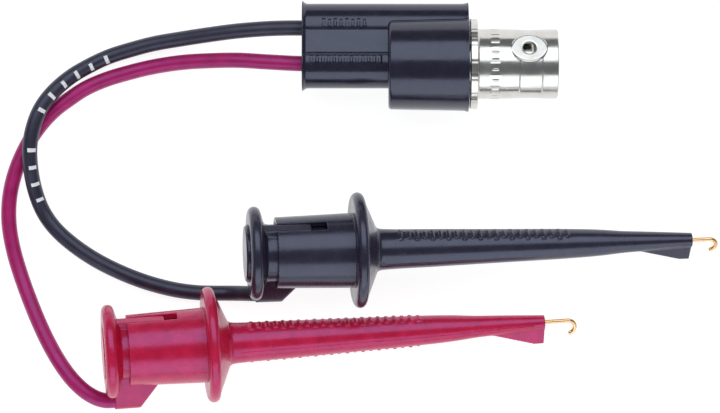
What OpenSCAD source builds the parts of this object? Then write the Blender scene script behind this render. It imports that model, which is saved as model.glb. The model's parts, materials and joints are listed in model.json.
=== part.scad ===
// Test lead set for an oscilloscope: a moulded BNC plug with two flexible leads,
// each ending in a spring-loaded hook clip. Millimetres, +Z up, lying on its side.

/* [BNC moulding] */
// Length of the moulded body
body_len = 26.4; // [24:0.1:30]
// Length of the flat rear part that the two leads enter
rear_len = 13.7; // [12:0.1:16]
// Radius of the round front barrel
front_r = 7.45; // [7.3:0.05:7.6]
// Radius of the two rear lobes
lobe_r = 3.9; // [3.6:0.1:4.2]
// Distance between the two leads
lead_gap = 5.76; // [5.4:0.02:6.2]
// How far the plug is rolled about its own axis
plug_roll = 8; // [0:1:15]

/* [Coupling nut] */
// Radius over the knurled rim
knurl_r = 7.2; // [7:0.05:7.3]
// Length of the knurled rim
knurl_len = 1.2; // [1:0.1:1.6]
// Outer radius of the bayonet sleeve
sleeve_r = 5.53; // [5.45:0.01:5.6]
// Length of the bayonet sleeve in front of the rim
sleeve_len = 12.7; // [12:0.1:13.5]
// Distance from the front edge to the centre of the locking hole
lock_back = 4.66; // [4.4:0.02:4.9]

/* [Leads] */
// Outer diameter of the insulated lead
lead_d = 2.45; // [2.2:0.05:2.5]
// Diameter of the stripped conductor
core_d = 1.0; // [0.6:0.1:1.2]

/* [Hook clips] */
// Length of the clip barrel from its rear edge to the beak
barrel_len = 66.8; // [64:0.1:70]
// Radius of the barrel at its rear edge
barrel_r = 5.7; // [5.6:0.05:5.8]
// Radius of the finger flange
flange_r = 9.17; // [8.8:0.01:9.5]
// Radius of the thumb cap
cap_r = 7.4; // [7.1:0.05:7.5]
// Distance from the clip's axis to the lead in the side boot
boot_off = 9.1; // [9.1:0.1:9.5]
// Diameter of the hook wire
wire_d = 0.68; // [0.6:0.02:0.7]
// How far the hook of the black clip stands out of the beak
hook_out = 4.5; // [4.2:0.1:4.8]
// How much further the red clip is pressed than the black one
red_press = 0.5; // [0:0.1:0.6]

/* [Hidden] */

eps = 0.01;
black_plastic = [0.12, 0.12, 0.15];
red_plastic = [0.75, 0.1, 0.18];
nickel = [0.78, 0.77, 0.74];
gold = [0.85, 0.65, 0.35];
copper = [0.78, 0.45, 0.3];

// Where the assemblies lie: plug rear centre, and each clip's flange centre and angles.
plug_at = [-16.8, 22.56, front_r];
rim_r = 0.95;
black_at = [-7.84, -6.99];
black_turn = [45, 6.4, 1.7];
red_at = [-31.22, -21.94];
red_turn = [60.5, 7.1, 3.6];

// Stations along the plug, counted from the rear face of the moulded body.
nut_gap = 0.2;
nut_x = body_len + nut_gap;
sleeve_x = nut_x + knurl_len;
mouth_x = sleeve_x + sleeve_len;
lock_x = mouth_x - lock_back;
washer_x = sleeve_x + 0.05;
washer_t = 0.25;
wave_x = washer_x + washer_t + 0.05;
wave_h = 0.8;
wave_t = 0.22;
ring_x = wave_x + wave_h + 0.05;
ring_t = 0.4;
gasket_x = ring_x + ring_t + 0.1;
gasket_t = 1.2;
contact_root = gasket_x + gasket_t + 0.1;
contact_x = mouth_x - 3.9;
pin_x = mouth_x - 5.1;
shell_x = 17;
tail_x = 13;
shell_r = 4.1;
contact_r = 4.05;
contact_in = 3.5;
nut_in = 4.95;
lip_in = 4.2;
ring_groove_r = 3.85;
insulator_x = 17.8;
insulator_end = gasket_x - 0.5;
pin_r = 0.675;
pin_base_r = 1;
pad_r = 2.95;
lock_r = 1.03;
track_w = 3.6;
track_h = 0.15;
groove_r = 5.3;

// Stations along a clip, counted from the rear edge of the barrel.
flange_x = 13.15;
bore_r = 4.75;
bore_len = 11.6;
spring_bore_r = 2;
spring_end = 24;
wire_bore_r = wire_d / 2 + 0.06;
key_slot_w = 1.8;
key_slot_len = 7.9;
boot_slot_w = 3.4;
boot_slot_len = 7.2;
beak_x = 58.3;
beak_drop = 3.5;
beak_w = 1.8;
beak_land = 1.7;
cap_x = -3.3;
cap_rim = 1;
stem_r = 4.5;
stem_end = 8;
key_w = 1.6;
key_r = 5.5;
key_end = 5.4;
plug_r = 4.5;
plug_in = -3.4;
well_r = 2.2;
well_end = 3.2;
ferrule_r = 0.9;
boot_r = 1.5;
boot_rear = -1.3;
boot_top = 3;
socket_r = lead_d / 2 + 0.08;
socket_len = 2;
core_x = 1.2;
curl_r = 1.2;
curl_end = 80;
curl_x = barrel_len + hook_out - curl_r - wire_d / 2;
red_reach = 0.4;
spring_r = 1.6;
spring_wire = 0.36;
spring_turns = 15;
spring_gap = 0.15;

// The leads, from inside the moulded body to inside each clip's boot.
BLACK_ROUTE = [
    [-14.8, 28.3, 6.6], [-16.8, 28.3, 6.6], [-19.2, 28.3, 6.6], [-22.5, 28.2, 6.4],
    [-27, 27.9, 5.6], [-31.5, 27.4, 4.3], [-36, 26.8, 2.9], [-40.5, 26.1, 1.8],
    [-44.5, 25.1, 1.3], [-48.2, 23.9, 1.3], [-51.5, 22.3, 1.5], [-54.2, 20.6, 2.1],
    [-56.7, 18.3, 3.1], [-58.6, 15.7, 3.8], [-59.8, 12.7, 4], [-60.4, 9.4, 3.8],
    [-60.3, 5.8, 3], [-59.7, 2.3, 1.9], [-58.5, -0.9, 1.3], [-56.5, -3.7, 1.3],
    [-53.6, -6.3, 1.3], [-50, -8.7, 1.3], [-46, -10.7, 1.3], [-41.8, -12.3, 1.3],
    [-37.6, -13.4, 1.3], [-34, -13.9, 1.3], [-31, -14, 1.3], [-29, -14, 1.5],
    [-27.2, -14, 2.3], [-25.7, -14, 3.4], [-24.3, -14, 4.2], [-22.7, -13.9, 4.3],
    [-20.7, -13.8, 4.1],
];
RED_ROUTE = [
    [-14.8, 22.6, 7.4], [-16.8, 22.6, 7.4], [-19.2, 22.7, 7.4], [-22.5, 22.9, 7.1],
    [-27, 23.2, 6.1], [-31.5, 23.2, 4.6], [-36, 23, 3.1], [-40.5, 22.4, 1.9],
    [-44.5, 21.5, 1.3], [-48.2, 20.4, 1.3], [-51.5, 19, 1.3], [-54.3, 17.2, 1.3],
    [-57, 15.1, 1.3], [-59.4, 12.4, 1.3], [-61.4, 9.2, 1.3], [-63, 5.4, 1.3],
    [-63.9, 1.4, 1.3], [-64, -2.8, 1.3], [-63.3, -7, 1.3], [-62.1, -11, 1.6],
    [-60.6, -14.9, 2.5], [-59, -18.5, 3.7], [-57.2, -22, 5], [-55.2, -25.2, 6.1],
    [-53, -27.9, 7], [-50.6, -29.9, 7.3], [-48.1, -30.9, 7], [-45.1, -30.7, 6.4],
    [-43.1, -30.6, 6.1],
];

// ---- helpers ----

function unit(v) = v / norm(v);
function last(list) = len(list) - 1;

// Direction of the route at point i.
function heading(p, i) =
    i == 0 ? unit(p[1] - p[0])
    : i == last(p) ? unit(p[i] - p[i - 1])
    : unit(unit(p[i] - p[i - 1]) + unit(p[i + 1] - p[i]));

// Eight-sided ring across the route at point i, one flat side down.
function ring(p, i, r, n) =
    let (
        t = heading(p, i),
        side = unit(cross([0, 0, 1], t)),
        up = cross(t, side)
    )
    [for (k = [0:n - 1]) p[i] + r * (cos(360 * (k + 0.5) / n) * side + sin(360 * (k + 0.5) / n) * up)];

// A closed tube swept along the route, one ring for each point.
module tube(p, r, n = 8) {
    rings = [for (i = [0:last(p)]) each ring(p, i, r, n)];
    walls = [
        for (i = [0:last(p) - 1], k = [0:n - 1])
            let (a = i * n + k, b = i * n + (k + 1) % n)
            each [[a, a + n, b], [b, a + n, b + n]]
    ];
    caps = [[for (k = [0:n - 1]) k], [for (k = [n - 1:-1:0]) last(p) * n + k]];
    polyhedron(points = rings, faces = concat(walls, caps), convexity = 10);
}

// Straight round bar along X.
module bar(x0, x1, r, fn = 48) {
    translate([x0, 0, 0]) rotate([0, 90, 0]) cylinder(h = x1 - x0, r = r, $fn = fn);
}

// Flat ring along X.
module washer(x0, x1, r_in, r_out) {
    difference() {
        bar(x0, x1, r_out);
        bar(x0 - 1, x1 + 1, r_in);
    }
}

// Turned shape along X from points of [station, radius].
module turned(points) {
    rotate([0, 90, 0]) rotate_extrude($fn = 64) polygon([for (p = points) [p[1], p[0]]]);
}

module on_plug() {
    translate(plug_at) rotate([-plug_roll, 0, 0]) children();
}

// Puts a clip down so that its flange rim rests on the surface.
module on_clip(at, turn) {
    rise = (flange_r - rim_r) * cos(turn[1]) + rim_r;
    translate([at[0], at[1], rise]) rotate([-turn[0], turn[1], turn[2]])
        translate([-flange_x, 0, 0]) children();
}

// ---- BNC plug ----

module core_space() {
    for (y = [0, lead_gap]) translate([0, y, 0]) {
        bar(-eps, socket_len, socket_r);
        bar(0, tail_x, core_d / 2);
    }
    translate([tail_x - core_d / 2, 0, 0]) ground_bend();
}

// The ground conductor's cross run from its own lobe to the shell's tail.
module ground_bend() {
    translate([core_d / 2, lead_gap, 0]) sphere(d = core_d, $fn = 32);
    translate([core_d / 2, 0, 0]) rotate([-90, 0, 0]) translate([0, 0, 2.6])
        cylinder(h = lead_gap - 2.6, d = core_d, $fn = 32);
}

module shell_outline() {
    bar(tail_x - 1, shell_x + eps, 2.6);
    bar(shell_x, shell_x + 1.5, 5.6);
    bar(shell_x + 1.5 - eps, contact_root, shell_r);
}

module moulded_body() {
    corner = 0.5;
    color(black_plastic) on_plug() difference() {
        union() {
            bar(0, rear_len + corner + eps, lobe_r);
            translate([0, lead_gap, 0]) bar(0, body_len, lobe_r);
            translate([0.25, 0, -lobe_r + 0.12]) cube([rear_len + 0.5, lead_gap, 2 * lobe_r - 0.24]);
            turned(concat(
                [[rear_len, 0]],
                [for (a = [0:15:90])
                    [rear_len + corner * (1 - cos(a)), front_r - corner * (1 - sin(a))]],
                [[body_len - 0.25, front_r], [body_len, front_r - 0.25], [body_len, 0]]
            ));
        }
        core_space();
        shell_outline();
        bar(tail_x - 1 - eps, insulator_x, pin_base_r);
    }
}

module contact_shell() {
    color(nickel) on_plug() difference() {
        union() {
            shell_outline();
            bar(contact_root - eps, contact_x - 0.3, contact_r);
            turned([[contact_x - 0.3 - eps, 0], [contact_x - 0.3 - eps, contact_r],
                [contact_x, contact_r - 0.25], [contact_x, 0]]);
        }
        bar(insulator_end, contact_x + 1, contact_in);
        bar(insulator_x, insulator_end + eps, contact_in);
        bar(tail_x - 2, insulator_x + eps, 1.5);
        for (a = [45:90:135]) rotate([a, 0, 0])
            translate([gasket_x + gasket_t + 0.6, -0.2, -contact_r - 1]) cube([10, 0.4, 2 * contact_r + 2]);
        washer(ring_x, ring_x + ring_t, ring_groove_r, 6);
        translate([tail_x, 0, 0]) rotate([-90, 0, 0]) cylinder(h = 3, d = core_d, $fn = 32);
    }
}

module insulator() {
    color("white") on_plug() difference() {
        bar(insulator_x, insulator_end, contact_in);
        bar(insulator_x - 1, insulator_end + 1, pin_base_r);
    }
}

module centre_pin() {
    color(gold) on_plug() difference() {
        union() {
            bar(tail_x, insulator_end, pin_base_r);
            bar(insulator_end - eps, pin_x - 0.5, pin_r);
            turned([[pin_x - 0.5 - eps, 0], [pin_x - 0.5 - eps, pin_r], [pin_x - 0.15, 0.5],
                [pin_x, 0.25], [pin_x, 0]]);
        }
        bar(tail_x - 1, tail_x + 2.5, core_d / 2);
    }
}

module gasket() {
    color("gainsboro") on_plug() washer(gasket_x, gasket_x + gasket_t, shell_r, 4.75);
}

module snap_ring() {
    color(nickel) on_plug() difference() {
        washer(ring_x, ring_x + ring_t, ring_groove_r, 4.8);
        translate([ring_x - 1, -0.8, -8]) cube([3, 1.6, 6]);
    }
}

module thrust_washer() {
    color(nickel) on_plug() washer(washer_x, washer_x + washer_t, lip_in, 4.85);
}

// Spring washer bent into three waves.
module wave_washer() {
    n = 48;
    r_in = 4.25;
    r_out = 4.8;
    amp = (wave_h - wave_t) / 2;
    mid = wave_x + wave_h / 2;
    function crest(k) = mid + amp * cos(3 * 360 * k / n);
    function edge(k, r, dx) = [crest(k) + dx, r * cos(360 * k / n), r * sin(360 * k / n)];
    points = [
        for (k = [0:n - 1])
            each [edge(k, r_in, -wave_t / 2), edge(k, r_out, -wave_t / 2),
                edge(k, r_out, wave_t / 2), edge(k, r_in, wave_t / 2)]
    ];
    faces = [
        for (k = [0:n - 1], j = [0:3])
            let (a = 4 * k + j, b = 4 * k + (j + 1) % 4,
                c = 4 * ((k + 1) % n) + (j + 1) % 4, d = 4 * ((k + 1) % n) + j)
            each [[a, b, c], [a, c, d]]
    ];
    color("silver") on_plug() polyhedron(points = points, faces = faces, convexity = 6);
}

// Part of a ring round the X axis, from one station and angle on.
module sector(x, w, a0, sweep, r_in, r_out) {
    translate([x, 0, 0]) rotate([a0, 0, 0]) rotate([0, 90, 0]) rotate([0, 0, 180])
        rotate_extrude(angle = sweep, $fn = 64) translate([r_in, 0]) square([r_out - r_in, w]);
}

// The bayonet path of one stud, cut from inside: a way in from the mouth, then a stepped ramp.
module stud_path() {
    steps = 3;
    step_turn = 22;
    step_x = 0.5;
    step_r = 0.04;
    width = 2.2;
    for (k = [0:steps - 1])
        sector(lock_x - width / 2 + step_x * k, width, step_turn * k - 10, step_turn + 10,
            nut_in - 1, groove_r - step_r * k);
    sector(lock_x + 0.3, 8, step_turn * steps - 16, 24, nut_in - 1, groove_r + step_r);
    translate([lock_x, 0, nut_in - 1]) cylinder(h = 4, r = lock_r, $fn = 48);
}

module coupling_nut() {
    knurls = 48;
    knurl_h = 0.12;
    pad_turn = -17;
    color(nickel) on_plug() difference() {
        union() {
            translate([nut_x, 0, 0]) rotate([0, 90, 0]) linear_extrude(knurl_len) polygon([
                for (k = [0:2 * knurls - 1])
                    let (r = knurl_r - (k % 2) * knurl_h, a = 180 * k / knurls)
                    r * [cos(a), sin(a)]
            ]);
            bar(sleeve_x - eps, mouth_x - 0.2, sleeve_r);
            turned([[mouth_x - 0.2 - eps, 0], [mouth_x - 0.2 - eps, sleeve_r],
                [mouth_x, sleeve_r - 0.2], [mouth_x, 0]]);
            for (a = [0, 180]) rotate([a + pad_turn, 0, 0]) {
                translate([lock_x, 0, 0]) cylinder(h = sleeve_r + 0.1, r = pad_r, $fn = 64);
                sector(lock_x - 1.5, track_w, 15, 70, groove_r + 0.1, sleeve_r + track_h);
            }
        }
        bar(nut_x - 1, sleeve_x + eps, lip_in);
        bar(sleeve_x, mouth_x + 1, nut_in);
        for (a = [0, 180]) rotate([a + pad_turn, 0, 0]) stud_path();
    }
}

module signal_core() {
    color(copper) on_plug() bar(socket_len, tail_x + 2.5, core_d / 2, 32);
}

module ground_core() {
    color(copper) on_plug() {
        translate([0, lead_gap, 0]) bar(socket_len, tail_x, core_d / 2, 32);
        translate([tail_x - core_d / 2, 0, 0]) ground_bend();
    }
}

module black_lead() {
    color(black_plastic) tube(BLACK_ROUTE, lead_d / 2);
}

module red_lead() {
    color([0.55, 0.1, 0.3]) tube(RED_ROUTE, lead_d / 2);
}

// ---- hook clips ----

// Flat wedge under the nose that the hook closes against.
module beak() {
    translate([0, beak_w / 2, 0]) rotate([90, 0, 0]) linear_extrude(beak_w) polygon([
        [beak_x, 0], [beak_x, -1.5], [barrel_len - beak_land, -beak_drop],
        [barrel_len, -beak_drop], [barrel_len, 0],
    ]);
}

module barrel_outline() {
    turned(concat(
        [[0, 0], [0, barrel_r - 0.2], [0.2, barrel_r], [flange_x - rim_r, barrel_r + 0.25]],
        [for (a = [180:-15:0]) [flange_x + rim_r * cos(a), flange_r - rim_r + rim_r * sin(a)]],
        [[flange_x + rim_r + 0.05, 7.9], [flange_x + 2, 5.4], [flange_x + 3, 3.6], [flange_x + 4, 3.24],
            [48.5, 2.3], [52, 2.1], [56, 1.74], [beak_x, 1.62], [barrel_len - 0.1, 1.15],
            [barrel_len, 1.05], [barrel_len, 0]]
    ));
}

module clip_barrel() {
    difference() {
        union() {
            barrel_outline();
            beak();
        }
        bar(-1, bore_len, bore_r);
        bar(bore_len - eps, spring_end, spring_bore_r);
        bar(spring_end - eps, barrel_len + 1, wire_bore_r);
        translate([-1, -key_slot_w / 2, 0]) cube([key_slot_len + 1, key_slot_w, 8]);
        translate([-1, -boot_slot_w / 2, -8]) cube([boot_slot_len + 1, boot_slot_w, 8]);
    }
}

module boot() {
    intersection() {
        union() {
            translate([boot_rear, -boot_r, -boot_off]) cube([12, 2 * boot_r, boot_off - boot_top]);
            translate([0, 0, -boot_off]) bar(boot_rear, 12, boot_r);
        }
        translate([0, 4, 0]) rotate([90, 0, 0]) linear_extrude(8) polygon([
            [boot_rear - 1, -boot_top + 1], [6.3, -boot_top + 1], [6.29, -boot_top],
            [0.9, -boot_off - boot_r], [boot_rear - 1, -boot_off - boot_r - 1],
        ]);
    }
}

module core_path() {
    translate([core_x, 0, -boot_off]) sphere(d = core_d, $fn = 32);
    translate([core_x, 0, -boot_off]) cylinder(h = boot_off - ferrule_r - 0.04, d = core_d, $fn = 32);
    translate([0, 0, -boot_off]) bar(boot_rear + socket_len, core_x, core_d / 2, 32);
}

module clip_plunger() {
    difference() {
        union() {
            turned(concat(
                [[cap_x - cap_rim, 0]],
                [for (a = [180:-15:30]) [cap_x + cap_rim * cos(a), cap_r - cap_rim + cap_rim * sin(a)]],
                [[cap_x + 1.3, 5.5], [-1.5, 4.7], [-1.3, stem_r], [stem_end - 0.3, stem_r],
                    [stem_end, stem_r - 0.3], [stem_end, 0]]
            ));
            translate([cap_x, -key_w / 2, 2]) cube([key_end - cap_x, key_w, key_r - 2]);
            boot();
        }
        bar(cap_x - 2, plug_in, plug_r);
        bar(plug_in - eps, well_end, well_r);
        bar(well_end - eps, stem_end + 1, wire_d / 2);
        core_path();
        translate([0, 0, -boot_off]) bar(boot_rear - 1, boot_rear + socket_len, socket_r);
    }
}

module clip_end_plug(proud) {
    back = cap_x - cap_rim - proud;
    turned([[back, 0], [back, plug_r - 0.25], [back + 0.25, plug_r], [plug_in, plug_r], [plug_in, 0]]);
}

module clip_ferrule() {
    washer(0.4, well_end, wire_d / 2, ferrule_r);
}

// Hook wire: straight shank through the clip, then a slightly thicker curl back under it.
module clip_hook(reach = 0) {
    x = curl_x + reach;
    bar(0.2, x + 0.1, wire_d / 2 - 0.02, 32);
    translate([x, 0, -curl_r]) rotate([90, 0, 0]) rotate([0, 0, -curl_end])
        rotate_extrude(angle = 90 + curl_end, $fn = 64) translate([curl_r, 0]) circle(d = wire_d, $fn = 32);
}

// Coil spring swept along a helix, from the plunger's end to the barrel's shoulder.
module clip_spring(press = 0) {
    n = 8;
    x0 = stem_end + press + spring_gap;
    x1 = spring_end - spring_gap;
    steps = spring_turns * n;
    function at(k) = [
        x0 + spring_wire / 2 + (x1 - x0 - spring_wire) * k / steps,
        spring_r * cos(360 * k / n), spring_r * sin(360 * k / n),
    ];
    function rim(k, j) =
        let (
            out = [0, cos(360 * k / n), sin(360 * k / n)],
            a = 360 * (j + 0.5) / 6
        )
        at(k) + spring_wire / 2 * (cos(a) * out + sin(a) * [1, 0, 0]);
    points = [for (k = [0:steps], j = [0:5]) rim(k, j)];
    walls = [
        for (k = [0:steps - 1], j = [0:5])
            let (a = 6 * k + j, b = 6 * k + (j + 1) % 6)
            each [[a, b, a + 6], [b, b + 6, a + 6]]
    ];
    ends = [[for (j = [5:-1:0]) j], [for (j = [0:5]) 6 * steps + j]];
    polyhedron(points = points, faces = concat(walls, ends), convexity = 20);
}

module black_clip() {
    on_clip(black_at, black_turn) children();
}

module red_clip(press = 0) {
    on_clip(red_at, red_turn) translate([press, 0, 0]) children();
}

moulded_body();
contact_shell();
insulator();
centre_pin();
gasket();
snap_ring();
thrust_washer();
wave_washer();
coupling_nut();
signal_core();
ground_core();
black_lead();
red_lead();
color(black_plastic) black_clip() clip_plunger();  // black_plunger
color(black_plastic) black_clip() clip_end_plug(0.6);  // black_end_plug
color(nickel) black_clip() clip_ferrule();  // black_ferrule
color(gold) black_clip() clip_hook();  // black_hook
color(copper) black_clip() core_path();  // black_core
color("silver") black_clip() clip_spring();  // black_spring
color(black_plastic) black_clip() clip_barrel();  // black_barrel
color(red_plastic) red_clip(red_press) clip_plunger();  // red_plunger
color(red_plastic) red_clip(red_press) clip_end_plug(0.15);  // red_end_plug
color(nickel) red_clip(red_press) clip_ferrule();  // red_ferrule
color(gold) red_clip(red_press) clip_hook(red_reach);  // red_hook
color(copper) red_clip(red_press) core_path();  // red_core
color("silver") red_clip() clip_spring(red_press);  // red_spring
color(red_plastic) red_clip() clip_barrel();  // red_barrel
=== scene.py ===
"""A BNC plug moulded onto two leads with hook clips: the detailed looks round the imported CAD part."""

import json
import math

import bpy
import numpy as np
from mathutils import Matrix


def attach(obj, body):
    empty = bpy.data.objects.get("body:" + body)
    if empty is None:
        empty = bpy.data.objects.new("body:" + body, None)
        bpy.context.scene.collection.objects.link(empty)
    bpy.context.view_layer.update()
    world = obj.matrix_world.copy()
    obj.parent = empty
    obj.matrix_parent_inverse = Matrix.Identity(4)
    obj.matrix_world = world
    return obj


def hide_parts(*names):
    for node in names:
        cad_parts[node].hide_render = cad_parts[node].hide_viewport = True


MM = 0.001

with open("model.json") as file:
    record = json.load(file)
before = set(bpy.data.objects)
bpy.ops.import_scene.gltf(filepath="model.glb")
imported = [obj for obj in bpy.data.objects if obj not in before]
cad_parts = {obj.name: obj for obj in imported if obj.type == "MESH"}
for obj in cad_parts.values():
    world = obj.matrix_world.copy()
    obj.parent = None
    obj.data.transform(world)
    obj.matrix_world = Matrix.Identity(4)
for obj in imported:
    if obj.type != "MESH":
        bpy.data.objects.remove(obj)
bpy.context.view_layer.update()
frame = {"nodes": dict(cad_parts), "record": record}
scene = bpy.context.scene
scene.view_settings.view_transform = "Standard"


# ---- camera ----

def make_camera():
    """Looks straight down on the set, with +Y up in the picture."""
    cam = bpy.data.objects.new("Camera", bpy.data.cameras.new("Camera"))
    scene.collection.objects.link(cam)
    cam.location = (-7.6 * MM, -0.08 * MM, 507.5 * MM)
    cam.data.sensor_width = 36
    cam.data.lens = 157.5
    cam.data.clip_start = 0.01
    cam.data.dof.use_dof = False
    scene.camera = cam


make_camera()


# ---- placement, as in part.scad, in millimetres ----

def turned(x=0, y=0, z=0):
    """Turns about X, then Y, then Z, in degrees."""
    rx, ry, rz = (Matrix.Rotation(math.radians(a), 4, n) for a, n in ((x, "X"), (y, "Y"), (z, "Z")))
    return rz @ ry @ rx


PLUG_ROLL = 8
PLUG = Matrix.Translation((-16.8, 22.56, 7.45)) @ turned(x=-PLUG_ROLL)
FLANGE_X = 13.15
FLANGE_R = 9.17
RIM_R = 0.95


def clip_frame(x, y, roll, tilt, heading):
    """A clip's place, with its finger flange resting on the floor at (x, y)."""
    rise = (FLANGE_R - RIM_R) * math.cos(math.radians(tilt)) + RIM_R
    return (Matrix.Translation((x, y, rise)) @ turned(-roll, tilt, heading)
            @ Matrix.Translation((-FLANGE_X, 0, 0)))


BLACK_CLIP = clip_frame(-7.84, -6.99, 45, 6.4, 1.7)
RED_CLIP = clip_frame(-31.22, -21.94, 60.5, 7.1, 3.6)
RED_PRESS = 0.5
RED_PLUNGER = RED_CLIP @ Matrix.Translation((RED_PRESS, 0, 0))


# ---- mesh helpers ----

def add_mesh(name, points, faces, place=Matrix.Identity(4), smooth=True):
    """A mesh object from millimetre points, placed in the frame in metres."""
    me = bpy.data.meshes.new(name)
    p = np.asarray(points, float)
    m = np.array(place)
    p = (p @ m[:3, :3].T + m[:3, 3]) * MM
    me.from_pydata(p.tolist(), [], [tuple(f) for f in np.asarray(faces).tolist()]
                   if isinstance(faces, np.ndarray) else faces)
    me.polygons.foreach_set("use_smooth", [smooth] * len(me.polygons))
    me.update()
    ob = bpy.data.objects.new(name, me)
    scene.collection.objects.link(ob)
    return ob


def piece(ob, body, slot, material, *nodes):
    """Rides on a body, stands for its CAD nodes and takes its finish."""
    ob.data.materials.clear()
    ob.data.materials.append(material)
    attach(ob, body)
    if nodes:
        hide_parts(*nodes)
    return ob


def smooth_path(points, per=6):
    """Catmull-Rom curve through the route's points."""
    p = np.asarray(points, float)
    q = np.vstack([2 * p[0] - p[1], p, 2 * p[-1] - p[-2]])
    out = []
    for i in range(1, len(q) - 2):
        a, b, c, d = q[i - 1:i + 3]
        for k in range(per):
            t = k / per
            out.append(0.5 * (2 * b + (c - a) * t + (2 * a - 5 * b + 4 * c - d) * t * t
                              + (3 * b - a - 3 * c + d) * t ** 3))
    out.append(p[-1])
    return np.array(out)


def path_frames(path):
    """Tangent, side and up at each point, with the side kept level."""
    t = np.gradient(path, axis=0)
    t /= np.linalg.norm(t, axis=1)[:, None]
    side = np.cross([0, 0, 1], t)
    side /= np.linalg.norm(side, axis=1)[:, None]
    return t, side, np.cross(t, side)


def tube(path, radius, sides=24, turn=path_frames):
    """Closed round tube along a path; radius is one number or one for each point."""
    n = len(path)
    t, side, up = turn(path)
    r = np.broadcast_to(np.asarray(radius, float), (n,))
    a = np.linspace(0, 2 * math.pi, sides, endpoint=False)
    ring = (np.cos(a)[None, :, None] * side[:, None, :] + np.sin(a)[None, :, None] * up[:, None, :])
    pts = (path[:, None, :] + r[:, None, None] * ring).reshape(-1, 3)
    i, k = np.meshgrid(np.arange(n - 1), np.arange(sides), indexing="ij")
    a0 = (i * sides + k).ravel()
    b0 = (i * sides + (k + 1) % sides).ravel()
    faces = np.stack([a0, b0, b0 + sides, a0 + sides], axis=1).tolist()
    faces.append(list(range(sides))[::-1])
    faces.append([(n - 1) * sides + j for j in range(sides)])
    return pts, faces


# ---- materials ----

def material(name, base, second, rough, rough_to, metallic=0.0, grain=900.0, fine=6000.0,
             bump=0.25, depth=0.00002, ior=1.5, tint=(1.0, 1.0, 1.0)):
    """Two close tones mixed by noise, uneven gloss, and a fine bump. Sizes are in metres."""
    m = bpy.data.materials.new(name)
    m.use_nodes = True
    nt = m.node_tree
    nt.nodes.clear()
    new, link = nt.nodes.new, nt.links.new
    out = new("ShaderNodeOutputMaterial")
    bs = new("ShaderNodeBsdfPrincipled")
    link(bs.outputs["BSDF"], out.inputs["Surface"])
    co = new("ShaderNodeTexCoord")
    src = co.outputs["Object"]
    tone = new("ShaderNodeTexNoise")
    tone.inputs["Scale"].default_value = grain
    tone.inputs["Detail"].default_value = 5
    link(src, tone.inputs["Vector"])
    ramp = new("ShaderNodeValToRGB")
    ramp.color_ramp.elements[0].position = 0.32
    ramp.color_ramp.elements[0].color = (*base, 1)
    ramp.color_ramp.elements[1].position = 0.7
    ramp.color_ramp.elements[1].color = (*second, 1)
    link(tone.outputs["Fac"], ramp.inputs["Fac"])
    link(ramp.outputs["Color"], bs.inputs["Base Color"])
    gloss = new("ShaderNodeTexNoise")
    gloss.inputs["Scale"].default_value = grain * 0.6
    gloss.inputs["Detail"].default_value = 7
    gloss.inputs["Roughness"].default_value = 0.62
    link(src, gloss.inputs["Vector"])
    span = new("ShaderNodeMapRange")
    span.inputs["From Min"].default_value = 0.3
    span.inputs["From Max"].default_value = 0.7
    span.inputs["To Min"].default_value = rough
    span.inputs["To Max"].default_value = rough_to
    link(gloss.outputs["Fac"], span.inputs["Value"])
    link(span.outputs["Result"], bs.inputs["Roughness"])
    pit = new("ShaderNodeTexNoise")
    pit.inputs["Scale"].default_value = fine
    pit.inputs["Detail"].default_value = 3
    link(src, pit.inputs["Vector"])
    bm = new("ShaderNodeBump")
    bm.inputs["Strength"].default_value = bump
    bm.inputs["Distance"].default_value = depth
    link(pit.outputs["Fac"], bm.inputs["Height"])
    link(bm.outputs["Normal"], bs.inputs["Normal"])
    bs.inputs["Metallic"].default_value = metallic
    bs.inputs["IOR"].default_value = ior
    bs.inputs["Specular Tint"].default_value = (*tint, 1)
    return m


COOL = (0.72, 0.78, 1.0)
VIOLET = (0.50, 0.42, 1.0)
M = {
    "black_moulding": material("Moulding_Black", (0.012, 0.010, 0.021), (0.018, 0.015, 0.030),
                               0.15, 0.25, grain=700, bump=0.2, tint=COOL, ior=1.68),
    "black_plastic": material("Clip_Black", (0.018, 0.014, 0.028), (0.026, 0.021, 0.040),
                              0.19, 0.30, grain=650, bump=0.25, tint=COOL, ior=1.68),
    "red_plastic": material("Clip_Red", (0.50, 0.006, 0.034), (0.62, 0.012, 0.054),
                            0.20, 0.32, grain=650, bump=0.25, tint=VIOLET, ior=1.80),
    "black_jacket": material("Lead_Black", (0.020, 0.016, 0.030), (0.032, 0.027, 0.046),
                             0.32, 0.46, grain=500, bump=0.25, tint=COOL, ior=1.6),
    "red_jacket": material("Lead_Red", (0.37, 0.008, 0.096), (0.47, 0.013, 0.130),
                           0.30, 0.44, grain=500, bump=0.25, tint=VIOLET, ior=1.7),
    "nickel_plate": material("Nickel", (0.60, 0.585, 0.55), (0.68, 0.665, 0.63), 0.15, 0.27,
                             metallic=1.0, grain=500, bump=0.12, depth=0.000012),
    "gold_plate": material("Gold", (0.74, 0.46, 0.22), (0.84, 0.57, 0.31), 0.14, 0.26,
                           metallic=1.0, grain=900, bump=0.12, depth=0.00001),
    "tinned_copper": material("Tinned_Strands", (0.62, 0.46, 0.34), (0.72, 0.60, 0.50), 0.3, 0.45,
                              metallic=1.0, grain=1500),
    "spring_steel": material("Spring_Steel", (0.48, 0.48, 0.48), (0.60, 0.60, 0.61), 0.22, 0.35,
                             metallic=1.0, grain=1200),
    "ptfe": material("Insulator_White", (0.80, 0.80, 0.77), (0.88, 0.88, 0.85), 0.40, 0.55,
                     grain=800),
    "silicone": material("Gasket_Grey", (0.55, 0.54, 0.50), (0.62, 0.61, 0.57), 0.5, 0.65, grain=900),
}
PRINT = material("Lead_Print", (0.78, 0.80, 0.80), (0.90, 0.91, 0.90), 0.45, 0.6, grain=2500)


# ---- the two leads ----

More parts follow.
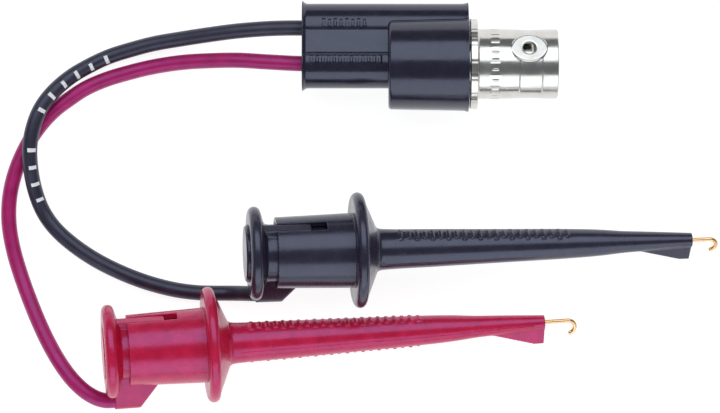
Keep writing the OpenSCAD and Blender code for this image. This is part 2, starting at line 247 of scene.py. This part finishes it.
BLACK_ROUTE = [
    (-14.8, 28.3, 6.6), (-16.8, 28.3, 6.6), (-19.2, 28.3, 6.6), (-22.5, 28.2, 6.4),
    (-27, 27.9, 5.6), (-31.5, 27.4, 4.3), (-36, 26.8, 2.9), (-40.5, 26.1, 1.8),
    (-44.5, 25.1, 1.3), (-48.2, 23.9, 1.3), (-51.5, 22.3, 1.5), (-54.2, 20.6, 2.1),
    (-56.7, 18.3, 3.1), (-58.6, 15.7, 3.8), (-59.8, 12.7, 4), (-60.4, 9.4, 3.8),
    (-60.3, 5.8, 3), (-59.7, 2.3, 1.9), (-58.5, -0.9, 1.3), (-56.5, -3.7, 1.3),
    (-53.6, -6.3, 1.3), (-50, -8.7, 1.3), (-46, -10.7, 1.3), (-41.8, -12.3, 1.3),
    (-37.6, -13.4, 1.3), (-34, -13.9, 1.3), (-31, -14, 1.3), (-29, -14, 1.5),
    (-27.2, -14, 2.3), (-25.7, -14, 3.4), (-24.3, -14, 4.2), (-22.7, -13.9, 4.3),
    (-20.7, -13.8, 4.1),
]
RED_ROUTE = [
    (-14.8, 22.6, 7.4), (-16.8, 22.6, 7.4), (-19.2, 22.7, 7.4), (-22.5, 22.9, 7.1),
    (-27, 23.2, 6.1), (-31.5, 23.2, 4.6), (-36, 23, 3.1), (-40.5, 22.4, 1.9),
    (-44.5, 21.5, 1.3), (-48.2, 20.4, 1.3), (-51.5, 19, 1.3), (-54.3, 17.2, 1.3),
    (-57, 15.1, 1.3), (-59.4, 12.4, 1.3), (-61.4, 9.2, 1.3), (-63, 5.4, 1.3),
    (-63.9, 1.4, 1.3), (-64, -2.8, 1.3), (-63.3, -7, 1.3), (-62.1, -11, 1.6),
    (-60.6, -14.9, 2.5), (-59, -18.5, 3.7), (-57.2, -22, 5), (-55.2, -25.2, 6.1),
    (-53, -27.9, 7), (-50.6, -29.9, 7.3), (-48.1, -30.9, 7), (-45.1, -30.7, 6.4),
    (-43.1, -30.6, 6.1),
]
LEAD_R = 1.225


def make_lead(name, route, slot, node):
    """One lead as a tube along its route; gives back its path."""
    path = smooth_path(route)
    ob = add_mesh(name, *tube(path, LEAD_R))
    piece(ob, "lead_set", slot, M[slot], node)
    return path


black_path = make_lead("Black_Lead", BLACK_ROUTE, "black_jacket", "black_lead")
make_lead("Red_Lead", RED_ROUTE, "red_jacket", "red_lead")


DASH_GROUPS = ((34.7, 6), (55.2, 4))
DASH_PITCH = 2.8
DASH_HALF = 0.3
DASH_POINTS = 7


def make_print(path):
    """Plain white dashes along the top of the black lead, towards the inside of its loop."""
    t, side, up = path_frames(path)
    at = np.append(0, np.cumsum(np.linalg.norm(np.diff(path, axis=0), axis=1)))
    pts, faces = [], []
    for first, count in DASH_GROUPS:
        for k in range(count):
            s = first + DASH_PITCH * k
            rows = []
            for u in (s - DASH_HALF, s, s + DASH_HALF):
                c, n, v = (np.array([np.interp(u, at, a[:, j]) for j in range(3)])
                           for a in (path, side, up))
                low, high = (38, 98) if k % 2 else (34, 102)
                turn = np.radians(np.linspace(low, high, DASH_POINTS))
                rows.append([[c + r * (math.cos(a) * n + math.sin(a) * v) for a in turn]
                             for r in (LEAD_R - 0.05, LEAD_R + 0.03)])
            base = len(pts)
            pts += np.array(rows).reshape(-1, 3).tolist()

            def at_point(i, layer, j):
                return base + (i * 2 + layer) * DASH_POINTS + j

            for i in range(2):
                for j in range(DASH_POINTS - 1):
                    for layer, order in ((1, 1), (0, -1)):
                        quad = [at_point(i, layer, j), at_point(i + 1, layer, j),
                                at_point(i + 1, layer, j + 1), at_point(i, layer, j + 1)]
                        faces.append(quad[::order])
                for j, order in ((0, 1), (DASH_POINTS - 1, -1)):
                    quad = [at_point(i, 0, j), at_point(i + 1, 0, j),
                            at_point(i + 1, 1, j), at_point(i, 1, j)]
                    faces.append(quad[::order])
            for j in range(DASH_POINTS - 1):
                for i, order in ((0, -1), (2, 1)):
                    quad = [at_point(i, 0, j), at_point(i, 0, j + 1),
                            at_point(i, 1, j + 1), at_point(i, 1, j)]
                    faces.append(quad[::order])
    piece(add_mesh("Lead_Print", pts, faces, smooth=False), "lead_set", "black_jacket", PRINT)


make_print(black_path)


# ---- solids as distance functions, in millimetres ----

def join(a, b, r):
    """Union with a round fillet of radius r."""
    return np.maximum(r, np.minimum(a, b)) - np.hypot(np.maximum(r - a, 0), np.maximum(r - b, 0))


def both(a, b, r):
    """Intersection with a round edge of radius r."""
    return -join(-a, -b, r)


def cut(a, b, r):
    """a without b, with a round edge of radius r."""
    return both(a, -b, r)


def polygon(x, y, points):
    """Signed distance to a closed outline."""
    d = np.full(x.shape, 1e9)
    s = np.ones(x.shape)
    for (ax, ay), (bx, by) in zip(points, points[-1:] + points[:-1]):
        ex, ey, wx, wy = bx - ax, by - ay, x - ax, y - ay
        t = np.clip((wx * ex + wy * ey) / (ex * ex + ey * ey), 0, 1)
        d = np.minimum(d, (wx - ex * t) ** 2 + (wy - ey * t) ** 2)
        up, down, left = y >= ay, y < by, ex * wy > ey * wx
        s = np.where((up & down & left) | (~up & ~down & ~left), -s, s)
    return s * np.sqrt(d)


def box(p, lo, hi, r=0.1):
    """Box between two corners with round edges."""
    lo, hi = np.array(lo, float), np.array(hi, float)
    q = np.abs(p - (lo + hi) / 2) - (hi - lo) / 2 + r
    return np.linalg.norm(np.maximum(q, 0), axis=1) + np.minimum(q.max(axis=1), 0) - r


def runs(*spans):
    """Grid lines from (start, end, step) spans."""
    parts = [np.linspace(a, b, max(1, round((b - a) / s)), endpoint=False) for a, b, s in spans]
    return np.append(np.concatenate(parts), spans[-1][1])


def sample(f, grid, block=6):
    """The distance on the whole grid, worked out only near the surface."""
    mids, halves, sizes = [], [], []
    for g in grid:
        start = np.arange(0, len(g), block)
        end = np.minimum(start + block, len(g)) - 1
        mids.append((g[start] + g[end]) / 2)
        halves.append((g[end] - g[start]) / 2)
        sizes.append(end - start + 1)
    c = np.stack(np.meshgrid(*mids, indexing="ij"), axis=-1)
    h = np.stack(np.meshgrid(*halves, indexing="ij"), axis=-1)
    d = f(c.reshape(-1, 3)).reshape(c.shape[:3])
    near = np.abs(d) < 1.25 * np.linalg.norm(h, axis=-1) + 0.6
    for axis, n in enumerate(sizes):
        d = np.repeat(d, n, axis=axis)
        near = np.repeat(near, n, axis=axis)
    i, j, k = np.nonzero(near)
    d[i, j, k] = f(np.stack([grid[0][i], grid[1][j], grid[2][k]], axis=1))
    return d


def solid(f, *grid):
    """Closed quad mesh of f < 0, with its points drawn onto the true surface."""
    v = sample(f, grid)
    inside = v < 0
    n = [len(g) - 1 for g in grid]
    corner = [(a, b, c) for a in (0, 1) for b in (0, 1) for c in (0, 1)]
    count = sum(inside[a:a + n[0], b:b + n[1], c:c + n[2]].astype(np.int8) for a, b, c in corner)
    ijk = np.stack(np.nonzero((count > 0) & (count < 8)), axis=1)
    ids = np.full(n, -1)
    ids[tuple(ijk.T)] = np.arange(len(ijk))
    total, hits = np.zeros((len(ijk), 3)), np.zeros(len(ijk))
    for a in corner:
        for axis in range(3):
            if a[axis]:
                continue
            b = tuple(1 if k == axis else a[k] for k in range(3))
            ia, ib = ijk + a, ijk + b
            va, vb = v[tuple(ia.T)], v[tuple(ib.T)]
            m = (va < 0) != (vb < 0)
            pa = np.stack([grid[k][ia[m, k]] for k in range(3)], axis=1)
            pb = np.stack([grid[k][ib[m, k]] for k in range(3)], axis=1)
            total[m] += pa + (va[m] / (va[m] - vb[m]))[:, None] * (pb - pa)
            hits[m] += 1
    p = total / hits[:, None]
    faces = []
    for axis in range(3):
        u, w = (axis + 1) % 3, (axis + 2) % 3
        lo = [slice(None)] * 3
        hi = [slice(None)] * 3
        lo[axis], hi[axis] = slice(0, -1), slice(1, None)
        a, b = inside[tuple(lo)], inside[tuple(hi)]
        e = np.stack(np.nonzero(a != b), axis=1)
        e = e[(e[:, u] > 0) & (e[:, w] > 0) & (e[:, u] < n[u]) & (e[:, w] < n[w])]
        quad = []
        for du, dw in ((-1, -1), (0, -1), (0, 0), (-1, 0)):
            c = e.copy()
            c[:, u] += du
            c[:, w] += dw
            quad.append(ids[tuple(c.T)])
        quad = np.stack(quad, axis=1)
        back = ~a[tuple(e.T)]
        quad[back] = quad[back][:, ::-1]
        faces.append(quad)
    h = 0.01
    for _ in range(4):
        d = f(p)
        g = np.stack([(f(p + h * s) - f(p - h * s)) / (2 * h) for s in np.eye(3)], axis=1)
        step = d[:, None] * g / np.maximum((g * g).sum(axis=1), 0.2)[:, None]
        p = p - np.clip(step, -0.15, 0.15)
    return p, np.concatenate(faces)


def profile(stations, per=4):
    """Smooth monotone outline through (station, radius) points, finely divided."""
    x, y = np.array(stations, float).T
    h, s = np.diff(x), np.diff(y) / np.diff(x)
    m = np.zeros(len(x))
    m[0], m[-1] = s[0], s[-1]
    for i in range(1, len(x) - 1):
        if s[i - 1] * s[i] > 0:
            w1, w2 = 2 * h[i] + h[i - 1], h[i] + 2 * h[i - 1]
            m[i] = (w1 + w2) / (w1 / s[i - 1] + w2 / s[i])
    out = []
    for i in range(len(h)):
        for k in range(per):
            t = k / per
            out.append((x[i] + t * h[i],
                        (1 + 2 * t) * (1 - t) ** 2 * y[i] + t * (1 - t) ** 2 * h[i] * m[i]
                        + t * t * (3 - 2 * t) * y[i + 1] + t * t * (t - 1) * h[i] * m[i + 1]))
    out.append((x[-1], y[-1]))
    return out


# ---- moulded body ----

BODY_LEN = 26.4
REAR_LEN = 13.7
LOBE_R = 3.9
LEAD_GAP = 5.76
FRONT_R = 7.45
ROLL = math.radians(PLUG_ROLL)


def repeat(u, pitch):
    """Distance to the middle of the nearest cell in a row of cells."""
    return np.abs(u % pitch - pitch / 2)


def ribs(x, across, above, first, pitch, count, width, length, height):
    """A row of small raised ribs, every other one shorter, above a surface."""
    u = x - first
    span = np.where((u // pitch) % 2 == 0, length, 0.8 * length) / 2
    cell = np.maximum(repeat(u, pitch) - width / 2, np.maximum(-u, u - pitch * count))
    return both(np.maximum(cell, np.abs(across) - span), above - height, 0.08)


def body_shape(p):
    x, y, z = p.T
    r = np.hypot(y, z)
    flare = 0.3 * np.exp(-((x - BODY_LEN) / 0.5) ** 2)
    front = both(r - (FRONT_R - 0.22 + 0.22 * np.clip((x - REAR_LEN) / 12, 0, 1)) - flare * 0.6,
                 np.maximum(REAR_LEN - x, x - BODY_LEN), 0.42 * (x < 20) + 0.08)
    lip = 0.45 * np.exp(-(x / 0.45) ** 2)
    top = np.hypot(y - LEAD_GAP, z) - LOBE_R
    low = r - LOBE_R
    web = np.maximum(np.abs(z) - (LOBE_R - 0.11), np.maximum(-y, y - LEAD_GAP))
    crease = 0.16 * (np.exp(-((y - 0.9) / 0.11) ** 2) + np.exp(-((y - LEAD_GAP + 0.9) / 0.11) ** 2))
    rear = np.minimum(np.minimum(top, low), web) + crease * (np.abs(z) > 2)
    rear = both(rear - lip, np.maximum(-x, x - REAR_LEN - 1), 0.06)
    ridge = both(top - flare * 0.6, np.maximum(-x, x - BODY_LEN), 0.08)
    d = join(join(rear, ridge, 0.03), front, 0.12)
    d = join(d, ribs(x, y - LEAD_GAP, top, 3.0, 0.92, 8, 0.42, 1.5, 0.12), 0.05)
    d = join(d, ribs(x, y, low, 1.1, 0.9, 13, 0.42, 1.5, 0.12), 0.05)
    bore = np.minimum(np.hypot(y - LEAD_GAP, z), r)
    d = cut(d, np.maximum(bore - 1.3, x - 1.4), 0.05)
    d = cut(d, np.maximum(r - 4.3, BODY_LEN - 0.8 - x), 0.05)
    return np.maximum(d, y * math.sin(ROLL) - z * math.cos(ROLL) - FRONT_R + 0.01)


pts, quads = solid(body_shape, runs((-0.4, 1.0, 0.12), (1.0, 13.1, 0.16), (13.1, 14.6, 0.12),
                                    (14.6, 25.4, 0.36), (25.4, 26.8, 0.12)),
                   runs((-8.0, -4.2, 0.25), (-4.2, 10.4, 0.16)), runs((-8.0, 8.0, 0.2)))
piece(add_mesh("Plug_Moulding", pts, quads, PLUG), "lead_set", "black_moulding",
      M["black_moulding"], "moulded_body")


# ---- coupling nut ----

NUT_X = 26.6
SLEEVE_X = 27.8
MOUTH_X = 40.5
LOCK_X = 35.84
SLEEVE_R = 5.53
KNURL_R = 7.2
KNURLS = 48
MARK_PITCH = 0.92
NUT_IN = 4.95
GROOVE_R = 5.3
PAD_TURN = -17


def nut_shape(p):
    x, y, z = p.T
    r = np.hypot(y, z)
    ang = np.arctan2(z, y)
    teeth = 0.03 * (np.abs(((ang * KNURLS / (2 * math.pi)) % 1) * 2 - 1) ** 1.5 + 1)
    rim = both(r - KNURL_R + teeth, np.maximum(NUT_X - x, x - SLEEVE_X), 0.16)
    sleeve = both(r - SLEEVE_R + 0.11 * np.exp(-((x - 36.0) / 2.4) ** 2),
                  np.maximum(SLEEVE_X - 0.2 - x, x - MOUTH_X), 0.2)
    d = join(rim, sleeve, 0.3)
    around = ang * SLEEVE_R
    marks = ribs(around, x - 30.5, r - SLEEVE_R, -20 * MARK_PITCH, MARK_PITCH, 40, 0.3, 1.4, 0.05)
    d = join(d, marks, 0.04)
    for side in (0, 180):
        a = math.radians(side + PAD_TURN)
        yy, zz = y * math.cos(a) + z * math.sin(a), z * math.cos(a) - y * math.sin(a)
        dx = x - LOCK_X
        pad = both(np.hypot(dx, yy * 1.25) - 2.85, np.abs(zz - 4.6) - (SLEEVE_R + 0.06 - 4.6), 0.14)
        d = join(d, pad, 0.08)
        turn = np.degrees(np.arctan2(-yy, zz))
        band = both(r - SLEEVE_R - 0.13, np.maximum(np.abs(x - LOCK_X - 0.3) - 1.8,
                                                  (np.abs(turn - 50) - 35) * 0.09), 0.12)
        d = join(d, np.maximum(band, 4.6 - r), 0.1)
    d = cut(d, np.maximum(r - NUT_IN, SLEEVE_X - x), 0.08)
    d = np.maximum(d, -(np.maximum(r - 4.2, -x)))
    for side in (0, 180):
        a = math.radians(side + PAD_TURN)
        yy, zz = y * math.cos(a) + z * math.sin(a), z * math.cos(a) - y * math.sin(a)
        turn = np.degrees(np.arctan2(-yy, zz))
        ramp = np.maximum(np.abs(x - LOCK_X - 0.022 * np.clip(turn, 0, 66)) - 1.1,
                          (np.abs(turn - 30) - 42) * 0.09)
        way = np.maximum(LOCK_X - x, (np.abs(turn - 62) - 12) * 0.09)
        d = cut(d, np.maximum(np.minimum(ramp, way), np.maximum(r - GROOVE_R, 2 - r)), 0.05)
        hole = np.maximum(np.hypot(x - LOCK_X, yy) - 1.03, 2 - zz)
        d = cut(d, hole, 0.15)
    return d


pts, quads = solid(nut_shape, runs((26.4, 28.2, 0.11), (28.2, 30.6, 0.2), (30.6, 32.8, 0.12),
                                   (32.8, 39.6, 0.14), (39.6, 40.7, 0.1)),
                   runs((-7.5, 7.5, 0.11)), runs((-7.5, 7.5, 0.11)))
piece(add_mesh("Coupling_Sleeve", pts, quads, PLUG), "nut", "nickel_plate", M["nickel_plate"],
      "coupling_nut")


# ---- hook clips ----

BARREL_LEN = 66.8
BEAK_X = 58.3
CAP_X = -3.3
BOOT_OFF = 9.1
WIRE_R = 0.34
CURL_R = 1.2
HOOK_OUT = 4.5
CURL_X = BARREL_LEN + HOOK_OUT - CURL_R - WIRE_R

RIM_ARC = [(FLANGE_X + RIM_R * math.cos(math.radians(a)),
            FLANGE_R - RIM_R + RIM_R * math.sin(math.radians(a))) for a in range(180, -1, -12)]
REAR = [(0.0, 0.0), (0.0, 5.6), (FLANGE_X - RIM_R, 5.95)]
FRONT = [(14.14, 8.0), (15.9, 3.8)] + profile([(16.05, 3.56), (16.5, 3.34), (17.3, 3.24), (25, 3.02),
                                               (35, 2.72), (48.5, 2.3), (52, 2.1), (56, 1.74),
                                               (BEAK_X, 1.62), (BARREL_LEN, 1.12)])
BARREL_LINE = REAR + RIM_ARC + FRONT + [(BARREL_LEN, 0.0)]
BEAK_LINE = [(55.5, 0.0), (58.0, -1.3), (65.1, -3.5), (66.7, -3.5), (BARREL_LEN, 0.0)]


def barrel_shape(p):
    x, y, z = p.T
    r = np.hypot(y, z)
    seam = 0.05 * np.exp(-(z / 0.11) ** 2) * np.clip(x - 17, 0, 1) * (x < 65)
    d = polygon(x, r, BARREL_LINE) - seam
    fin = both(polygon(x, z, BEAK_LINE), np.abs(y) - 0.9, 0.14)
    d = join(d, fin, 0.15)
    d = cut(d, np.maximum(r - 4.75, x - 11.6), 0.12)
    d = cut(d, np.maximum(r - 0.42, 65.5 - x), 0.06)
    d = cut(d, np.maximum(np.maximum(np.abs(y) - 0.9, x - 7.9), -z), 0.08)
    d = cut(d, np.maximum(np.maximum(np.abs(y) - 1.7, x - 7.2), z), 0.08)
    return join(d, ribs(x, y, polygon_radius(x, r), 19, 1.27, 22, 0.55, 2.3, 0.2), 0.05)


SHAFT = np.array(FRONT)


def polygon_radius(x, r):
    return r - np.interp(x, SHAFT[:, 0], SHAFT[:, 1])


CAP_ARC = [(CAP_X + math.cos(math.radians(a)), 6.4 + math.sin(math.radians(a)))
           for a in range(180, 29, -12)]
NECK = profile([(-2.3, 6.5), (-2.05, 5.6), (-1.85, 4.95), (-1.5, 4.58), (-1.0, 4.5)])
CAP_LINE = [(-4.3, 0.0)] + CAP_ARC + NECK + [(7.8, 4.5), (8.0, 4.3), (8.0, 0.0)]
BOOT_LINE = [(-2.9, -2.0), (6.3, -2.0), (6.2, -3.0), (1.15, -10.2), (0.6, -10.6),
             (-2.3, -10.6), (-2.9, -10.2)]


def plunger_shape(p):
    x, y, z = p.T
    r = np.hypot(y, z)
    d = polygon(x, r, CAP_LINE)
    rib = box(p, (-3.3, -0.8, 2.0), (5.4, 0.8, 5.5), 0.12)
    d = join(d, rib, 0.15)
    boot = both(polygon(x, z, BOOT_LINE), np.abs(y) - 1.5, 0.45)
    boot = np.maximum(boot, np.where(z < -BOOT_OFF, np.hypot(y, z + BOOT_OFF) - 1.5, -9))
    d = join(d, boot, 0.3)
    d = cut(d, np.maximum(np.hypot(y, z + BOOT_OFF) - 1.25, x + 0.3), 0.06)
    return cut(d, np.maximum(r - 4.55, x + 4.0), 0.1)


barrel = solid(barrel_shape, runs((-0.3, 0.5, 0.1), (0.5, 7, 0.25), (7, 8.2, 0.12), (8.2, 12, 0.25),
                                  (12, 18, 0.16), (18, 20.8, 0.4), (20.8, 46, 0.18), (46, 58, 0.4),
                                  (58, 67, 0.11)),
               runs((-9.5, -1.4, 0.2), (-1.4, 1.4, 0.1), (1.4, 9.5, 0.2)),
               runs((-9.5, -1.4, 0.2), (-1.4, 1.4, 0.1), (1.4, 9.5, 0.2)))
plunger = solid(plunger_shape, runs((-4.6, -1, 0.12), (-1, 8.3, 0.18)),
                runs((-7.8, 7.8, 0.16)), runs((-11, 7.8, 0.16)))


def hook_path(reach):
    arc = np.radians(np.arange(90, -81, -10))
    bend = [(CURL_X + reach + CURL_R * math.cos(a), 0, -CURL_R + CURL_R * math.sin(a)) for a in arc]
    return np.array([(x, 0, 0) for x in np.linspace(60, CURL_X + reach - 0.4, 12)] + bend)


def hook_frames(path):
    t = np.gradient(path, axis=0)
    t /= np.linalg.norm(t, axis=1)[:, None]
    side = np.tile([0.0, 1.0, 0.0], (len(path), 1))
    return t, side, np.cross(t, side)


for name, colour, at, at_plunger, reach in (("Black", "black", BLACK_CLIP, BLACK_CLIP, 0),
                                            ("Red", "red", RED_CLIP, RED_PLUNGER, 0.4)):
    slot = colour + "_plastic"
    piece(add_mesh(name + "_Grip", *barrel, at), colour + "_grip", slot, M[slot], colour + "_barrel")
    piece(add_mesh(name + "_Plunger", *plunger, at_plunger), "lead_set", slot, M[slot],
          colour + "_plunger")
    hook_line = hook_path(reach)
    hook_r = np.full(len(hook_line), WIRE_R)
    hook_r[-2:] = (0.335, 0.29)
    piece(add_mesh(name + "_Hook", *tube(hook_line, hook_r, 20, hook_frames), at_plunger),
          "lead_set", "gold_plate", M["gold_plate"], colour + "_hook")


# ---- finish of the CAD nodes that stay ----

for sub in frame["record"]["subparts"]:
    node = frame["nodes"][sub["node"]]
    node.data.materials.clear()
    node.data.materials.append(M[sub["material_slot"]])


# ---- floor and light ----

def make_floor():
    s = 1500
    ob = add_mesh("Floor", [(-s, -s, -0.02), (s, -s, -0.02), (s, s, -0.02), (-s, s, -0.02)],
                  [(0, 1, 2, 3)], smooth=False)
    m = bpy.data.materials.new("Floor_White")
    m.use_nodes = True
    bs = m.node_tree.nodes["Principled BSDF"]
    bs.inputs["Base Color"].default_value = (0.28, 0.28, 0.28, 1)
    bs.inputs["Roughness"].default_value = 0.9
    bs.inputs["Specular IOR Level"].default_value = 0.1
    bs.inputs["Emission Color"].default_value = (1, 1, 1, 1)
    bs.inputs["Emission Strength"].default_value = 0.90
    ob.data.materials.append(m)


def softbox(name, angle, spread, distance, length, radiance, colour):
    """An area light aimed at the middle of the set, so many degrees from straight up."""
    width = 2 * distance * math.tan(math.radians(spread / 2))
    li = bpy.data.lights.new(name, "AREA")
    li.shape = "RECTANGLE"
    li.size, li.size_y = length, width
    li.energy = radiance * math.pi * length * width
    li.color = colour
    ob = bpy.data.objects.new(name, li)
    scene.collection.objects.link(ob)
    ob.matrix_world = (Matrix.Rotation(math.radians(-angle), 4, "X")
                       @ Matrix.Translation((0, 0, distance)))
    ob.visible_camera = False


make_floor()
softbox("Key", 32, 46, 0.6, 1.0, 1.9, (0.90, 0.95, 1.0))
softbox("Fill", -62, 46, 0.6, 1.0, 1.7, (0.92, 0.96, 1.0))
world = bpy.data.worlds.new("World")
world.use_nodes = True
world.node_tree.nodes["Background"].inputs["Color"].default_value = (0.16, 0.165, 0.18, 1)
scene.world = world
